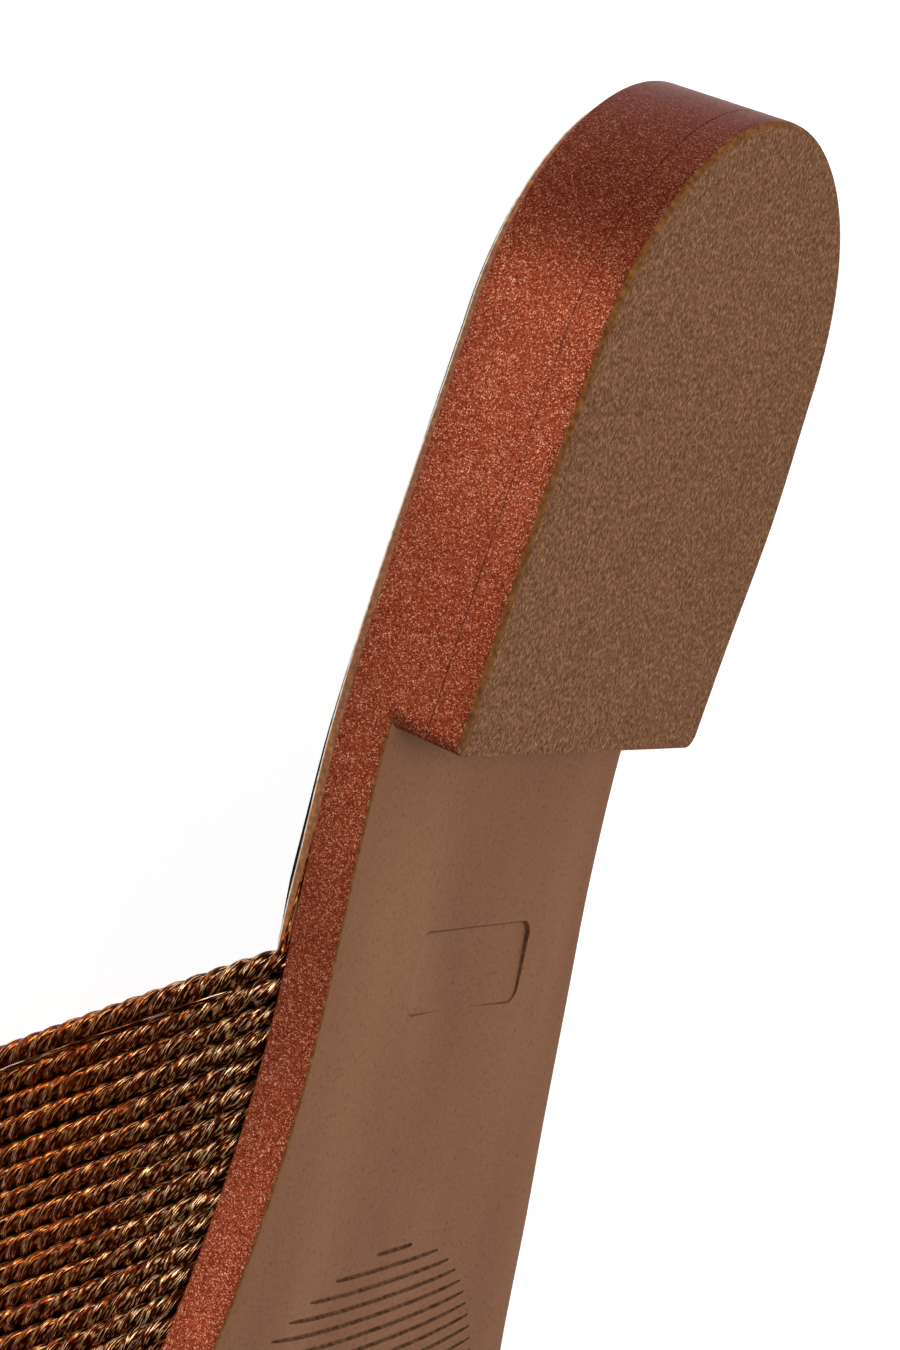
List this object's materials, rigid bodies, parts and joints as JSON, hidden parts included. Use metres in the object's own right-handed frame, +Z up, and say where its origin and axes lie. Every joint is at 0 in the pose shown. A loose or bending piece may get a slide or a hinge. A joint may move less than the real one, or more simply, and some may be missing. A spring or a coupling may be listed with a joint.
{
  "type": "house slipper",
  "caption": "Flat slide slipper for the right foot: open toe and heel, one wide corded band, copper edge, low stacked heel. Lies on its side.",
  "frame": {"origin": "middle of the bounding box's underside, on the floor that the shoe lies on", "axes": "+Z up from the floor, +Y from heel to toe, +X from the sole's side to the band's side; the shoe lies on its right side with its sole facing -X"},
  "size_m": [0.0776, 0.249, 0.0871],
  "materials": {
    "top_lift": "brown split leather with a short brushed nap and a fine grain",
    "copper_edge": "copper metallic coat over the wrapped edge, satin with a very fine glitter",
    "outsole": "smooth matte brown with faint grain",
    "insole": "tan cut edge, dark brown smooth top",
    "cord": "twisted cord of metallic gold and bronze yarn over a dark cloth backing"
  },
  "bodies": {
    "root": {"heel_top_lift": "top_lift", "heel_and_midsole": "copper_edge", "outsole": "outsole", "insole": "insole", "upper": "cord"}
  },
  "joints": []
}
